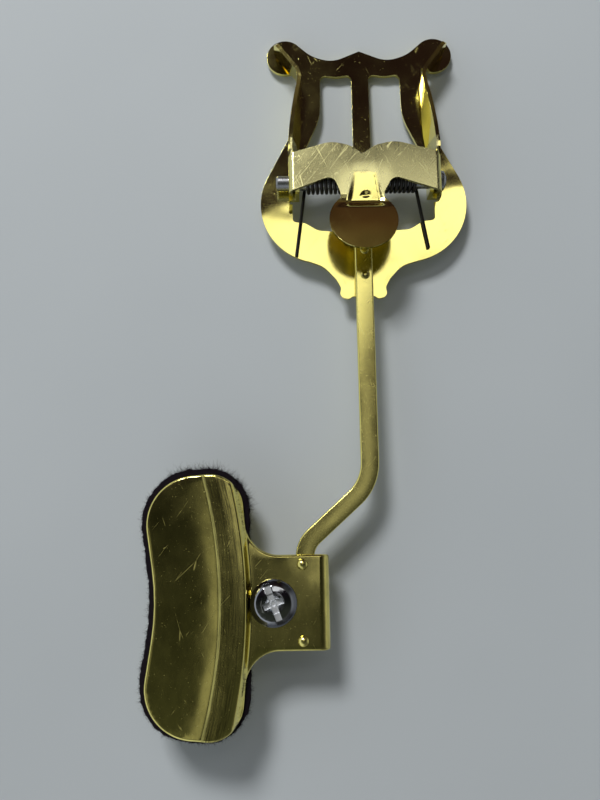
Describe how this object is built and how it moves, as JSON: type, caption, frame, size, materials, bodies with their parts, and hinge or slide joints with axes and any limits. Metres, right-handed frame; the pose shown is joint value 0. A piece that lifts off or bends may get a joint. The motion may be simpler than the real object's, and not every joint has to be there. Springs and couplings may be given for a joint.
{
  "type": "marching music lyre with bell clamp",
  "caption": "Flat lyre-shaped sheet-music holder with a sprung front clip, on a bent flat stem, with a felt-lined clamp that a screw and wing nut close on a brass instrument's bell rim.",
  "frame": {"origin": "middle of the rim groove, on the mid-plane between the two jaws, level with the screw axis along Y", "axes": "the object lies flat as in the picture: +X across, away from the bell, +Y along the stem to the lyre head, +Z to the front"},
  "size_m": [0.1001, 0.2162, 0.0271],
  "materials": {
    "gold_brass": "lacquered, polished, worn",
    "clamp_brass": "lacquered, polished, scratched",
    "rivet_brass": "dull",
    "pin_steel": "satin",
    "spring_steel": "oiled dark",
    "zinc_steel": "zinc plated",
    "felt": "matte felt"
  },
  "bodies": {
    "lyre": {"lyre_plate": "gold_brass", "hinge_pin": "pin_steel", "torsion_spring": "spring_steel", "neck_rivet_upper": "rivet_brass", "neck_rivet_lower": "rivet_brass", "stem": "gold_brass", "front_jaw": "clamp_brass", "front_felt": "felt", "tab_rivet_upper": "rivet_brass", "tab_rivet_lower": "rivet_brass"},
    "clip": {"front_clip": "gold_brass"},
    "screw": {"clamp_screw": "zinc_steel"},
    "nut": {"wing_nut": "zinc_steel"},
    "rear_leaf": {"rear_jaw": "clamp_brass", "rear_felt": "felt"}
  },
  "joints": [
    {"name": "clip_pivot", "type": "hinge", "parent": "lyre", "child": "clip", "pos_m": [0.0416, 0.1272, 0.0028], "axis": [1, 0, 0], "range_deg": [0, 20], "stiffness_Nm_per_rad": 0.15, "springref_deg": -40.11, "deforming": ["torsion_spring"]},
    {"name": "nut_draw", "type": "slide", "parent": "lyre", "child": "nut", "axis": [0, 0, 1], "range_m": [0, 0.00037]},
    {"name": "screw_turn", "type": "hinge", "parent": "lyre", "child": "screw", "pos_m": [0.012, 0, 0.0029], "axis": [0, 0, -1], "range_deg": [0, 105]},
    {"name": "jaw_close", "type": "hinge", "parent": "lyre", "child": "rear_leaf", "pos_m": [0.0252, 0, 0], "axis": [0, 1, 0], "range_deg": [0, 2.61]}
  ],
  "couplings": [
    {"joint": "screw_turn", "follows": "nut_draw", "rad_per_m": 4947.4},
    {"joint": "jaw_close", "follows": "nut_draw", "rad_per_m": 122.51}
  ]
}
